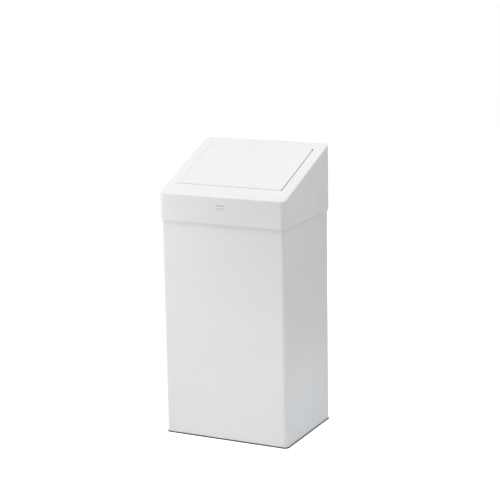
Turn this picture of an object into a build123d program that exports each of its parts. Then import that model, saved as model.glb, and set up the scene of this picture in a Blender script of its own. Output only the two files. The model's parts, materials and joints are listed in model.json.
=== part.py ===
from build123d import *
import os
from math import acos, atan2, cos, degrees, hypot, pi, radians, sin, tan

# Wastepaper bin: a folded steel body, a moulded hood with a sloped top, and a push flap that is sprung shut.
# Millimetres. X runs along the front, -Y is the front, +Z is up.
# The origin is on the floor, under the middle of the body.

# Driving sizes: body
body_width = 330.0
body_depth = 256.0
body_corner_radius = 10.0
rim_height = 582.5
sheet_thickness = 0.8
hem_height = 10.0
hem_fold_radius = 0.72
seam_gap = 0.4

# Driving sizes: what is welded into the body
strap_width = 24.0
strap_end_gap = 3.0
pan_floor_height = 12.0
pan_step_inset = 28.0
pan_step_rise = 2.0
pan_edge_radius = 2.0
pan_fit = 0.1

# Driving sizes: floor ring
ring_proud = 1.5
ring_flange_thickness = 3.0
ring_flange_width = 16.0
ring_wall_height = 7.0
ring_wall_thickness = 2.5
ring_edge_radius = 0.8
ring_fit = 0.1

# Driving sizes: bag frame, its sleeve and its brackets
wire_radius = 2.5
wire_drop = 26.0
wire_to_wall = 10.0
wire_bend_radius = 12.0
sleeve_length = 24.0
sleeve_wall = 0.75
sleeve_fit = 0.05
bracket_from_body_end = 53.0
bracket_width = 20.0
bracket_thickness = 1.2
bracket_plate_rise = 12.0
bracket_lip_rise = 5.0
bracket_lip_gap = 0.5
wire_rest_gap = 0.3

# Driving sizes: hood
hood_wall = 3.0
hood_clearance = 0.8
hood_overlap = 43.1
hood_front_rise = 23.0
hood_slope = 20.8
hood_edge_radius = 4.0
hood_least_radius = 1.0
skirt_edge_radius = 0.8
rim_rib_length = 5.0
rim_rib_height = 18.0
rim_rib_thickness = 2.5
rim_rib_spread = 60.0

# Driving sizes: blank plate on the front of the hood
badge_width = 24.0
badge_height = 14.0
badge_corner_radius = 1.5
badge_thickness = 1.0
badge_edge_radius = 0.3
badge_recess = 0.6
badge_drop = 25.0
badge_fit = 0.1

# Driving sizes: flap and the opening that it closes
flap_side_border = 30.4
flap_front_border = 49.2
flap_rear_border = 36.5
flap_gap = 1.5
flap_front_gap = 0.6
flap_proud = 1.3
flap_thickness = 2.6
flap_corner_radius = 5.0
flap_edge_radius = 0.9
opening_corner_radius = 2.0
opening_chamfer = 0.5
flap_rib_inset = 1.5
flap_rib_thickness = 2.0
flap_rib_depth = 7.0
flap_cross_rib_depth = 4.0
flap_cross_rib_thickness = 1.6
flap_rib_bays = 3
ear_thickness = 4.0
ear_radius = 6.0
stop_lip_reach = 7.0
stop_lip_thickness = 2.0
stop_lip_end_gap = 8.0

# Driving sizes: rubber stop pads
buffer_length = 24.0
buffer_width = 5.0
buffer_thickness = 1.5
buffer_corner_radius = 1.25
buffer_from_lip_edge = 0.5
buffer_gap = 0.1
buffer_from_flap_side = 48.4

# Driving sizes: hinge rod, its clips and the lugs that hold it
rod_radius = 2.0
rod_end_radius = 0.4
rod_running_fit = 0.05
axis_drop = 9.0
axis_from_flap_end = 7.0
lug_radius = 6.5
lug_thickness = 4.0
lug_from_opening = 1.0
lug_mouth_width = 3.4
boss_radius = 4.2
boss_gap = 0.5
clip_radius = 4.5
clip_thickness = 0.8
clip_groove_depth = 0.5
clip_play = 0.1
clip_mouth_width = 2.8
rod_end_length = 2.0

# Driving sizes: return springs
spring_wire_radius = 0.7
spring_coil_radius = 4.0
spring_turns = 6
spring_pitch = 1.9
spring_hood_leg = 14.0
spring_flap_leg = 34.0
spring_rest_gap = 0.1
spring_from_ear = 2.0
spring_spare_turns = 2

# How far a cut runs past what it cuts
cut_past = 1.0

# Worked out: body
half_width = body_width / 2
half_depth = body_depth / 2
inner_width = body_width - 2 * sheet_thickness
inner_depth = body_depth - 2 * sheet_thickness
inner_corner_radius = body_corner_radius - sheet_thickness
sheet_foot = ring_flange_thickness
wire_height = rim_height - wire_drop
bracket_spacing = body_depth - 2 * bracket_from_body_end

# Worked out: hood
hood_stand_off = hood_clearance + hood_wall
hood_half_width = half_width + hood_stand_off
hood_half_depth = half_depth + hood_stand_off
hood_corner_radius = body_corner_radius + hood_stand_off
hood_foot = rim_height - hood_overlap
front_top_height = rim_height + hood_front_rise
slope = radians(hood_slope)

# Worked out: the sloped top, with its origin at the middle of the front top edge and its y axis up the slope
slope_plane = Plane(
    origin=(0, -hood_half_depth, front_top_height),
    x_dir=(1, 0, 0),
    z_dir=(0, -sin(slope), cos(slope)),
)
slope_axis = Axis((0, 0, 0), (0, -sin(slope), cos(slope)))
slope_length = 2 * hood_half_depth / cos(slope)
flap_width = 2 * (hood_half_width - flap_side_border)
flap_length = slope_length - flap_front_border - flap_rear_border
flap_end = flap_front_border + flap_length
flap_middle = flap_front_border + flap_length / 2
opening_width = flap_width + 2 * flap_gap
opening_length = flap_front_gap + flap_length + flap_gap
opening_middle = flap_front_border - flap_front_gap + opening_length / 2
flap_underside = flap_proud - flap_thickness
rib_outer = flap_width / 2 - flap_rib_inset
buffer_spread = flap_width / 2 - buffer_from_flap_side

# Worked out: hinge axis
axis_up_slope = flap_end - axis_from_flap_end
axis_y = -hood_half_depth + axis_up_slope * cos(slope) + axis_drop * sin(slope)
axis_z = front_top_height + axis_up_slope * sin(slope) - axis_drop * cos(slope)
lug_inner = opening_width / 2 + lug_from_opening
lug_outer = lug_inner + lug_thickness
clip_inner = lug_outer + clip_play
rod_half_length = clip_inner + clip_thickness + rod_end_length
rod_hole_radius = rod_radius + rod_running_fit
hood_underside_from_axis = axis_drop - hood_wall
flap_underside_from_axis = axis_drop + flap_underside

os.makedirs("parts", exist_ok=True)


def hinge_plane(x):
    """A plane across the hinge at x: its origin on the axis, its x axis up the slope, its y axis out of it."""
    return Plane(origin=(x, axis_y, axis_z), x_dir=(0, cos(slope), sin(slope)), z_dir=(1, 0, 0))


def save(piece, name):
    """Label a finished piece and write its file."""
    piece.part.label = name
    export_step(piece.part, f"parts/{name}.step")


# Body shell: one sheet folded round and butted at the back, its rim hemmed inwards
with BuildPart() as body_shell:
    with BuildSketch(Plane.XY.offset(sheet_foot)):
        RectangleRounded(body_width, body_depth, body_corner_radius)
        RectangleRounded(inner_width, inner_depth, inner_corner_radius, mode=Mode.SUBTRACT)
    extrude(amount=rim_height - sheet_foot)
    with BuildSketch(Plane.XY.offset(rim_height)):
        RectangleRounded(body_width, body_depth, body_corner_radius)
        RectangleRounded(
            inner_width - 2 * sheet_thickness,
            inner_depth - 2 * sheet_thickness,
            inner_corner_radius - sheet_thickness,
            mode=Mode.SUBTRACT,
        )
    extrude(amount=-hem_height)
    fillet(body_shell.faces().sort_by(Axis.Z)[-1].edges(), radius=hem_fold_radius)
    with BuildSketch(Plane.XY.offset(sheet_foot)):
        with Locations((0, half_depth)):
            Rectangle(seam_gap, 2 * (2 * sheet_thickness + cut_past))
    extrude(amount=rim_height - sheet_foot, mode=Mode.SUBTRACT)
save(body_shell, "body_shell")

# Seam strap: spot-welded behind the butted edges
strap_foot = pan_floor_height + pan_step_rise + strap_end_gap
strap_top = rim_height - hem_height - strap_end_gap
with BuildPart() as seam_strap:
    with BuildSketch(Plane.XY.offset(strap_foot)):
        with Locations((0, half_depth - sheet_thickness)):
            Rectangle(strap_width, sheet_thickness, align=(Align.CENTER, Align.MAX))
    extrude(amount=strap_top - strap_foot)
save(seam_strap, "seam_strap")

# Bottom pan: a pressed tray, open side down, with a raised step in its floor
pan_width = inner_width - 2 * pan_fit
pan_depth = inner_depth - 2 * pan_fit
pan_corner_radius = inner_corner_radius - pan_fit
with BuildPart() as bottom_pan:
    with BuildSketch(Plane.XY.offset(sheet_foot)):
        RectangleRounded(pan_width, pan_depth, pan_corner_radius)
    extrude(amount=pan_floor_height - sheet_foot)
    fillet(bottom_pan.faces().sort_by(Axis.Z)[-1].edges(), radius=pan_edge_radius)
    with BuildSketch(Plane.XY.offset(sheet_foot)):
        RectangleRounded(
            pan_width - 2 * sheet_thickness,
            pan_depth - 2 * sheet_thickness,
            pan_corner_radius - sheet_thickness,
        )
    extrude(amount=pan_floor_height - sheet_thickness - sheet_foot, mode=Mode.SUBTRACT)
    with BuildSketch(Plane.XY.offset(pan_floor_height)):
        RectangleRounded(pan_width - 2 * pan_step_inset, pan_depth - 2 * pan_step_inset, pan_corner_radius)
    extrude(amount=pan_step_rise)
    with BuildSketch(Plane.XY.offset(pan_floor_height - sheet_thickness)):
        RectangleRounded(
            pan_width - 2 * pan_step_inset - 2 * sheet_thickness,
            pan_depth - 2 * pan_step_inset - 2 * sheet_thickness,
            pan_corner_radius - sheet_thickness,
        )
    extrude(amount=pan_step_rise, mode=Mode.SUBTRACT)
save(bottom_pan, "bottom_pan")

# Floor ring: the sheet stands on its flange, and its wall plugs into the pan
ring_width = body_width + 2 * ring_proud
ring_depth = body_depth + 2 * ring_proud
ring_plug_width = pan_width - 2 * sheet_thickness - 2 * ring_fit
ring_plug_depth = pan_depth - 2 * sheet_thickness - 2 * ring_fit
ring_plug_radius = pan_corner_radius - sheet_thickness - ring_fit
with BuildPart() as floor_ring:
    with BuildSketch():
        RectangleRounded(ring_width, ring_depth, body_corner_radius + ring_proud)
        RectangleRounded(
            ring_width - 2 * ring_flange_width,
            ring_depth - 2 * ring_flange_width,
            body_corner_radius,
            mode=Mode.SUBTRACT,
        )
    extrude(amount=ring_flange_thickness)
    outer_top_edges = floor_ring.faces().filter_by(Axis.Z).sort_by(Axis.Z)[-1].outer_wire().edges()
    fillet(outer_top_edges, radius=ring_edge_radius)
    with BuildSketch(Plane.XY.offset(ring_flange_thickness)):
        RectangleRounded(ring_plug_width, ring_plug_depth, ring_plug_radius)
        RectangleRounded(
            ring_plug_width - 2 * ring_wall_thickness,
            ring_plug_depth - 2 * ring_wall_thickness,
            ring_plug_radius - ring_wall_thickness,
            mode=Mode.SUBTRACT,
        )
    extrude(amount=ring_wall_height)
save(floor_ring, "floor_ring")


# Frame brackets: four welded hooks that carry the wire
def make_bracket(side, y):
    """One bracket on the left (side -1) or right (side 1) wall, with its middle at y."""
    wall_x = side * inner_width / 2
    wire_x = side * (inner_width / 2 - wire_to_wall)
    shelf_top = wire_height - wire_radius - wire_rest_gap
    shelf_bottom = shelf_top - bracket_thickness
    lip_near_x = wire_x - side * (wire_radius + bracket_lip_gap)
    lip_far_x = lip_near_x - side * bracket_thickness
    plate_x = wall_x - side * bracket_thickness
    outline = [
        (wall_x, shelf_bottom),
        (lip_far_x, shelf_bottom),
        (lip_far_x, shelf_top + bracket_lip_rise),
        (lip_near_x, shelf_top + bracket_lip_rise),
        (lip_near_x, shelf_top),
        (plate_x, shelf_top),
        (plate_x, shelf_top + bracket_plate_rise),
        (wall_x, shelf_top + bracket_plate_rise),
    ]
    with BuildPart() as bracket:
        with BuildSketch(Plane.XZ.offset(-y)):
            with BuildLine():
                Polyline(*outline, close=True)
            make_face()
        extrude(amount=bracket_width / 2, both=True)
    return bracket


for side, side_name in ((-1, "left"), (1, "right")):
    for end, end_name in ((-1, "front"), (1, "rear")):
        save(make_bracket(side, end * bracket_spacing / 2), f"frame_bracket_{side_name}_{end_name}")

# Bag frame: one closed ring of wire
wire_half_width = inner_width / 2 - wire_to_wall
wire_half_depth = inner_depth / 2 - wire_to_wall
with BuildPart() as bag_frame:
    with BuildLine(Plane.XY.offset(wire_height)) as wire_path:
        FilletPolyline(
            (-wire_half_width, wire_half_depth),
            (-wire_half_width, -wire_half_depth),
            (wire_half_width, -wire_half_depth),
            (wire_half_width, wire_half_depth),
            radius=wire_bend_radius,
            close=True,
        )
    with BuildSketch(Plane(origin=wire_path.line @ 0, z_dir=wire_path.line % 0)):
        Circle(wire_radius)
    sweep()
save(bag_frame, "bag_frame")

# Wire sleeve: crimped over the ends of the wire, which meet at the back
with BuildPart() as wire_sleeve:
    with BuildSketch(Plane.YZ):
        with Locations((wire_half_depth, wire_height)):
            Circle(wire_radius + sleeve_fit + sleeve_wall)
            Circle(wire_radius + sleeve_fit, mode=Mode.SUBTRACT)
    extrude(amount=sleeve_length / 2, both=True)
save(wire_sleeve, "wire_sleeve")


# Hood: a moulded shell with a skirt, a sloped top and an opening for the flap
def make_hood_block(inset, foot):
    """The outline of the hood down to foot, with its walls and its top moved inwards by inset."""
    front_y = -hood_half_depth + inset
    rear_y = hood_half_depth - inset
    top_drop = inset / cos(slope)
    front_z = front_top_height + inset * tan(slope) - top_drop
    rear_z = front_z + (rear_y - front_y) * tan(slope)
    with BuildPart() as block:
        with BuildSketch(Plane.YZ):
            with BuildLine():
                Polyline((front_y, foot), (front_y, front_z), (rear_y, rear_z), (rear_y, foot), close=True)
            make_face()
        extrude(amount=hood_half_width - inset, both=True)
        fillet(block.edges().filter_by(Axis.Z), radius=hood_corner_radius - inset)
        fillet(block.faces().sort_by(Axis.Z)[-1].edges(), radius=max(hood_edge_radius - inset, hood_least_radius))
    return block.part


hood_outside = make_hood_block(0, hood_foot)
hood_inside = make_hood_block(hood_wall, hood_foot)

# The ribs inside the hood, whose feet rest on the rim of the body
with BuildPart() as rim_ribs:
    with BuildSketch(Plane.XY.offset(rim_height)):
        for side in (-1, 1):
            with Locations((side * (hood_half_width - hood_wall / 2), 0)):
                with GridLocations(1, 2 * rim_rib_spread, 1, 2):
                    Rectangle(
                        rim_rib_length + hood_wall / 2,
                        rim_rib_thickness,
                        align=(Align.MAX if side > 0 else Align.MIN, Align.CENTER),
                    )
            with Locations((0, side * (hood_half_depth - hood_wall / 2))):
                with GridLocations(2 * rim_rib_spread, 1, 2, 1):
                    Rectangle(
                        rim_rib_thickness,
                        rim_rib_length + hood_wall / 2,
                        align=(Align.CENTER, Align.MAX if side > 0 else Align.MIN),
                    )
    extrude(amount=rim_rib_height)
    add(hood_outside, mode=Mode.INTERSECT)

with BuildPart() as hood:
    add(hood_outside)
    add(hood_inside, mode=Mode.SUBTRACT)
    fillet(hood.faces().sort_by(Axis.Z)[0].outer_wire().edges(), radius=skirt_edge_radius)
    add(rim_ribs.part)
    with BuildSketch(slope_plane):
        with Locations((0, opening_middle)):
            RectangleRounded(opening_width, opening_length, opening_corner_radius)
    extrude(amount=2 * hood_wall, both=True, mode=Mode.SUBTRACT)
    with BuildSketch(slope_plane):
        with Locations((0, opening_middle)):
            RectangleRounded(
                opening_width + 2 * opening_chamfer,
                opening_length + 2 * opening_chamfer,
                opening_corner_radius + opening_chamfer,
            )
    extrude(amount=-opening_chamfer, taper=45, mode=Mode.SUBTRACT)
    for side in (-1, 1):
        with BuildSketch(hinge_plane(side * lug_inner)):
            Circle(lug_radius)
            Rectangle(
                2 * lug_radius,
                hood_underside_from_axis + hood_wall / 2,
                align=(Align.CENTER, Align.MIN),
            )
        extrude(amount=side * lug_thickness)
        with BuildSketch(hinge_plane(side * lug_inner)):
            Circle(boss_radius)
        extrude(amount=-side * (lug_inner - rib_outer - boss_gap))
        with BuildSketch(hinge_plane(side * (rib_outer + boss_gap))):
            Circle(rod_hole_radius)
            Rectangle(lug_mouth_width, lug_radius + cut_past, align=(Align.CENTER, Align.MAX))
        extrude(amount=side * (lug_outer - rib_outer - boss_gap), mode=Mode.SUBTRACT)
    with BuildSketch(Plane.XZ.offset(hood_half_depth)):
        with Locations((0, front_top_height - badge_drop)):
            RectangleRounded(
                badge_width + 2 * badge_fit,
                badge_height + 2 * badge_fit,
                badge_corner_radius + badge_fit,
            )
    extrude(amount=-badge_recess, mode=Mode.SUBTRACT)
save(hood, "hood")

# Badge plate: a blank plate seated in the recess on the front of the skirt
with BuildPart() as badge_plate:
    with BuildSketch(Plane.XZ.offset(hood_half_depth - badge_recess)):
        with Locations((0, front_top_height - badge_drop)):
            RectangleRounded(badge_width, badge_height, badge_corner_radius)
    extrude(amount=badge_thickness)
    fillet(badge_plate.faces().sort_by(Axis.Y)[0].edges(), radius=badge_edge_radius)
save(badge_plate, "badge_plate")

# Flap: a ribbed panel with an ear at each side for the rod and a stop lip along its front
with BuildPart() as flap:
    with BuildSketch(slope_plane.offset(flap_proud)):
        with Locations((0, flap_middle)):
            RectangleRounded(flap_width, flap_length, flap_corner_radius)
    extrude(amount=-flap_thickness)
    fillet(flap.faces().sort_by(slope_axis)[-1].edges(), radius=flap_edge_radius)
    front_rib = flap_front_border + flap_rib_inset
    rear_rib = axis_up_slope - ear_radius - flap_rib_thickness
    spring_inner = rib_outer - ear_thickness - spring_from_ear - (spring_turns + spring_spare_turns) * spring_pitch
    with BuildSketch(slope_plane.offset(flap_underside)):
        with Locations((0, front_rib)):
            Rectangle(2 * rib_outer, flap_rib_thickness, align=(Align.CENTER, Align.MIN))
        with Locations((0, rear_rib)):
            Rectangle(2 * spring_inner, flap_rib_thickness, align=(Align.CENTER, Align.MIN))
        with Locations((rib_outer, front_rib)):
            Rectangle(flap_rib_thickness, axis_up_slope - front_rib, align=(Align.MAX, Align.MIN))
        with Locations((-rib_outer, front_rib)):
            Rectangle(flap_rib_thickness, axis_up_slope - front_rib, align=(Align.MIN, Align.MIN))
    extrude(amount=-flap_rib_depth)
    with BuildSketch(slope_plane.offset(flap_underside)):
        with Locations((0, front_rib)):
            with GridLocations(flap_width / flap_rib_bays, 1, 2, 1):
                Rectangle(flap_cross_rib_thickness, rear_rib - front_rib, align=(Align.CENTER, Align.MIN))
        with Locations((0, (front_rib + rear_rib) / 2)):
            Rectangle(2 * rib_outer, flap_cross_rib_thickness)
    extrude(amount=-flap_cross_rib_depth)
    for side in (-1, 1):
        with BuildSketch(hinge_plane(side * rib_outer)):
            Circle(ear_radius)
            with Locations((-ear_radius, 0)):
                Rectangle(2 * ear_radius, flap_underside_from_axis, align=(Align.MIN, Align.MIN))
        extrude(amount=-side * ear_thickness)
        with BuildSketch(hinge_plane(side * rib_outer)):
            Circle(rod_hole_radius)
        extrude(amount=-side * ear_thickness, mode=Mode.SUBTRACT)
    lip_top = -(hood_wall + buffer_gap + buffer_thickness)
    with BuildSketch(slope_plane.offset(lip_top)):
        with Locations((0, flap_front_border - stop_lip_reach)):
            Rectangle(
                flap_width - 2 * stop_lip_end_gap,
                stop_lip_reach + flap_rib_inset + flap_rib_thickness,
                align=(Align.CENTER, Align.MIN),
            )
    extrude(amount=-stop_lip_thickness)
save(flap, "flap")


# Stop buffers: rubber pads on the lip, which meet the underside of the hood
def make_buffer(side):
    """One rubber pad on the left (side -1) or right (side 1) of the stop lip."""
    middle = flap_front_border - stop_lip_reach + buffer_from_lip_edge + buffer_width / 2
    with BuildPart() as buffer:
        with BuildSketch(slope_plane.offset(lip_top)):
            with Locations((side * buffer_spread, middle)):
                RectangleRounded(buffer_length, buffer_width, buffer_corner_radius)
        extrude(amount=buffer_thickness)
    return buffer


save(make_buffer(-1), "stop_buffer_left")
save(make_buffer(1), "stop_buffer_right")

# Hinge rod: snaps up into the mouths of the two lugs, with a groove near each end
with BuildPart() as hinge_rod:
    with BuildSketch(hinge_plane(-rod_half_length)):
        Circle(rod_radius)
    extrude(amount=2 * rod_half_length)
    for groove_start in (-clip_inner - clip_thickness, clip_inner):
        with BuildSketch(hinge_plane(groove_start - clip_play / 2)):
            Circle(rod_radius + cut_past)
            Circle(rod_radius - clip_groove_depth, mode=Mode.SUBTRACT)
        extrude(amount=clip_thickness + clip_play, mode=Mode.SUBTRACT)
    fillet(hinge_rod.faces().filter_by(GeomType.PLANE).sort_by(Axis.X)[0].edges(), radius=rod_end_radius)
    fillet(hinge_rod.faces().filter_by(GeomType.PLANE).sort_by(Axis.X)[-1].edges(), radius=rod_end_radius)
save(hinge_rod, "hinge_rod")


# Rod clips: pressed sideways into the grooves, outside the lugs
def make_clip(start_x):
    """One retaining clip, from start_x in the direction of +X."""
    with BuildPart() as clip:
        with BuildSketch(hinge_plane(start_x)):
            Circle(clip_radius)
            Circle(rod_radius - clip_groove_depth + rod_running_fit, mode=Mode.SUBTRACT)
            Rectangle(clip_mouth_width, clip_radius + cut_past, align=(Align.CENTER, Align.MAX), mode=Mode.SUBTRACT)
        extrude(amount=clip_thickness)
    return clip


save(make_clip(-clip_inner - clip_thickness), "rod_clip_left")
save(make_clip(clip_inner), "rod_clip_right")

# Return springs: a coil on the rod, one leg under the hood and one under the flap
hood_leg_end = hood_underside_from_axis - spring_wire_radius - spring_rest_gap
flap_leg_end = flap_underside_from_axis - spring_wire_radius - spring_rest_gap
hood_leg_rise = atan2(spring_hood_leg, spring_coil_radius) - acos(
    hood_leg_end / hypot(spring_coil_radius, spring_hood_leg)
)
flap_leg_rise = atan2(spring_flap_leg, spring_coil_radius) - acos(
    flap_leg_end / hypot(spring_coil_radius, spring_flap_leg)
)
first_angle = pi / 2 + hood_leg_rise
last_angle = pi / 2 - flap_leg_rise + 2 * pi * spring_turns
climb = spring_pitch / (2 * pi)
coil_start = rib_outer - ear_thickness - spring_from_ear - climb * (last_angle - first_angle)
coil_plane = hinge_plane(coil_start)


def coil_point(angle):
    """The point of the coil's middle line at this angle about the rod."""
    along = climb * (angle - first_angle)
    return coil_plane.from_local_coords(
        (spring_coil_radius * cos(angle), spring_coil_radius * sin(angle), along)
    )


def coil_tangent(angle):
    """The direction of the coil's middle line at this angle about the rod."""
    step = (-spring_coil_radius * sin(angle), spring_coil_radius * cos(angle), climb)
    return (coil_plane.from_local_coords(step) - coil_plane.origin).normalized()


quarter_count = 4 * spring_turns
quarter_angles = [
    first_angle + (last_angle - first_angle) * step / quarter_count for step in range(quarter_count + 1)
]
with BuildPart() as return_spring_right:
    with BuildLine() as spring_path:
        start = coil_point(first_angle)
        finish = coil_point(last_angle)
        Line(start - coil_tangent(first_angle) * spring_hood_leg, start)
        for angle, next_angle in zip(quarter_angles, quarter_angles[1:]):
            begin = coil_point(angle)
            end = coil_point(next_angle)
            leave = coil_tangent(angle)
            arrive = coil_tangent(next_angle)
            # Two arcs that share a tangent: their control points lie one reach from each end
            gap = end - begin
            turn = leave + arrive
            spread = 2 * (1 - leave.dot(arrive))
            reach = (-gap.dot(turn) + (gap.dot(turn) ** 2 + spread * gap.dot(gap)) ** 0.5) / spread
            middle = (begin + leave * reach + end - arrive * reach) / 2
            middle_tangent = (end - arrive * reach) - (begin + leave * reach)
            TangentArc(begin, middle, tangent=leave)
            TangentArc(middle, end, tangent=middle_tangent)
        Line(finish, finish + coil_tangent(last_angle) * spring_flap_leg)
    with BuildSketch(Plane(origin=spring_path.line @ 0, z_dir=spring_path.line % 0)):
        Circle(spring_wire_radius)
    sweep()
save(return_spring_right, "return_spring_right")

with BuildPart() as return_spring_left:
    mirror(return_spring_right.part, about=Plane.YZ)
save(return_spring_left, "return_spring_left")

print("flap width, length", round(flap_width, 1), round(flap_length, 1))
print("hinge axis y, z", round(axis_y, 3), round(axis_z, 3))
print("least gap between turns of a spring", round(spring_pitch - 2 * spring_wire_radius, 2))
print("spring leg rises", round(degrees(hood_leg_rise), 1), round(degrees(flap_leg_rise), 1))
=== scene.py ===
# %% [markdown]
# # A wastepaper bin with a sloped hood and a push flap
# The bin has a folded steel body, a lift-off moulded hood and a flap that swings inwards, sprung shut. The
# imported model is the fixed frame: it says where each piece is, how big it is and which body it moves with.
# This lesson builds the looks on that frame, one real piece after another, and never moves the frame itself.

import json
from math import acos, atan2, cos, hypot, pi, radians, sin, tan

import bmesh
import bpy
from mathutils import Matrix, Vector


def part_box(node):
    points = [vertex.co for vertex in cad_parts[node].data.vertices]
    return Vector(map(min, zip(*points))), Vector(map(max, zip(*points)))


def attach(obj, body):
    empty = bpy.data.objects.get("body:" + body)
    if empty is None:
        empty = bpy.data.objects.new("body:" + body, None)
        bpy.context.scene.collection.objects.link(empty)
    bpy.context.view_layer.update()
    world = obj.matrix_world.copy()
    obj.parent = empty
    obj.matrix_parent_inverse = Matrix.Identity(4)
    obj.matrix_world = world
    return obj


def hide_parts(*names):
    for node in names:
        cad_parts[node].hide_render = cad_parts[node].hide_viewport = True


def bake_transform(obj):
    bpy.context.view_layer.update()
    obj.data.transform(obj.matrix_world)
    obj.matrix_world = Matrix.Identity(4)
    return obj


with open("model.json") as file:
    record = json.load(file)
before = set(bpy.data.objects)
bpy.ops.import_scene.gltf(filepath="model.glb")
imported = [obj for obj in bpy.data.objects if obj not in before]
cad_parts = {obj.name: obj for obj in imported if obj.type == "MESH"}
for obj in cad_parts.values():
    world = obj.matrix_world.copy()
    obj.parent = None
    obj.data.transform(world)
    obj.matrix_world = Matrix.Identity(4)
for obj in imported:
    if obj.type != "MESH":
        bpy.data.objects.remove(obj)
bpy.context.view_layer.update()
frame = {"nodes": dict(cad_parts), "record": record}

# %% [markdown]
# ## Sizes
# Blender works in metres here, and a maker of bins thinks in millimetres, so each size is a number times MM.
# Only the sizes that a box can't show, such as the slope of the hood, are written down.

# %% The sizes that all pieces share
MM = 0.001
body_low, body_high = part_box("body_shell")
hood_low, hood_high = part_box("hood")
flap_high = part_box("flap")[1]
rod_low, rod_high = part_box("hinge_rod")
slope = radians(20.8)
front_top = 605.5 * MM
hinge = (rod_low + rod_high) / 2
print("body", [round(v / MM, 1) for v in body_high - body_low], "hinge", [round(v / MM, 2) for v in hinge])


# %% Two small helpers
def named(name):
    """The object that an operator has just added, under this name."""
    bpy.context.object.name = name
    return bpy.context.object


def set_inputs(node, values):
    """Give these inputs of a node their values."""
    for socket, value in values.items():
        node.inputs[socket].default_value = value


# %% [markdown]
# ## The camera
# The photograph was taken from the front and a little to the right, from above the rim, with a long lens. A
# constraint could aim the camera at an empty, but would lose the photograph's slight roll. So the camera gets
# three plain turns: round the bin, down towards it, and the roll.

# %% The camera
camera_place = (1.7266, -3.4529, 1.3248)
camera_round = radians(26.42)
camera_down = radians(12.77)
camera_roll = radians(-1.017)
lens_length = 116.08
sensor_width = 36
bpy.ops.object.camera_add()
camera = named("photo_camera")
camera.data.lens = lens_length
camera.data.sensor_width = sensor_width
camera.matrix_world = (
    Matrix.Translation(camera_place)
    @ Matrix.Rotation(camera_round, 4, "Z")
    @ Matrix.Rotation(pi / 2 - camera_down, 4, "X")
    @ Matrix.Rotation(camera_roll, 4, "Z")
)
bpy.context.scene.camera = camera
print("camera looks from", [round(v, 2) for v in camera.matrix_world.translation])

# %% [markdown]
# ## The floor
# The photograph's ground is plain white with hardly any shadow, yet the bin has to stand on something. More
# light would clip the white bin, so most of the floor's white is its own glow. The rest comes from the lamps
# and still takes a faint shadow. From below the floor is clear, so that the underside can be looked at too.

# %% The floor
floor_size = 80
floor_glow = 0.78
floor_white = 0.80
floor_shade = 0.7
bpy.ops.mesh.primitive_plane_add(size=floor_size, location=(0, 0, 0))
floor = named("floor")

floor_paper = bpy.data.materials.new("floor_paper")
floor_paper.use_nodes = True
nodes, links = floor_paper.node_tree.nodes, floor_paper.node_tree.links
nodes.clear()
output = nodes.new("ShaderNodeOutputMaterial")
lit = nodes.new("ShaderNodeBsdfDiffuse")
lit.inputs["Color"].default_value = (floor_white, floor_white, floor_white, 1)
faint = nodes.new("ShaderNodeBsdfDiffuse")
faint.inputs["Color"].default_value = (floor_shade, floor_shade, floor_shade, 1)
glow = nodes.new("ShaderNodeEmission")
glow.inputs["Strength"].default_value = floor_glow
seen = nodes.new("ShaderNodeAddShader")
links.new(faint.outputs[0], seen.inputs[0])
links.new(glow.outputs[0], seen.inputs[1])


def looking_rays(nodes, links):
    """1 where a ray comes from the camera, or through gloss or glass that shows the ground, 0 elsewhere."""
    path = nodes.new("ShaderNodeLightPath")
    so_far = path.outputs["Is Camera Ray"]
    for kind in ("Is Glossy Ray", "Is Transmission Ray"):
        either = nodes.new("ShaderNodeMath")
        either.operation = "MAXIMUM"
        links.new(so_far, either.inputs[0])
        links.new(path.outputs[kind], either.inputs[1])
        so_far = either.outputs[0]
    return so_far


def mixed(nodes, links, share, *shaders):
    """A mix of two shaders: the first where the share is 0, and the second where it is 1."""
    mix = nodes.new("ShaderNodeMixShader")
    for source, socket in zip((share, *shaders), mix.inputs):
        links.new(source, socket)
    return mix.outputs[0]


by_ray = mixed(nodes, links, looking_rays(nodes, links), lit.outputs[0], seen.outputs[0])
clear = nodes.new("ShaderNodeBsdfTransparent")
side = nodes.new("ShaderNodeNewGeometry")
by_side = mixed(nodes, links, side.outputs["Backfacing"], by_ray, clear.outputs[0])
links.new(by_side, output.inputs["Surface"])
floor.data.materials.append(floor_paper)
print("floor is", floor.dimensions[0], "m wide")

# %% [markdown]
# ## The light
# White on white only reads as a shape because each side has its own grey: the top is lightest, the front
# darkens from left to right, and the right side is darkest. One lamp could not do that, and a bare sky makes
# all sides alike. So a soft sky gives the ground level. A large square lamp hangs over the bin, and a smaller
# one high at the front left draws the soft shadow under the hood's skirt. The low and the near lamp at the
# left make the front fade to the right, and one at the right, close and high, lights the hood's side more
# than the body's. Weak ones near the floor lift the foot of the front and, a little bluish, of the side, as a
# white floor does. The one behind keeps the back from going dull when the bin is turned. Each lamp has its
# place, its aim, the side of its square in metres, and its watts.

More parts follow.
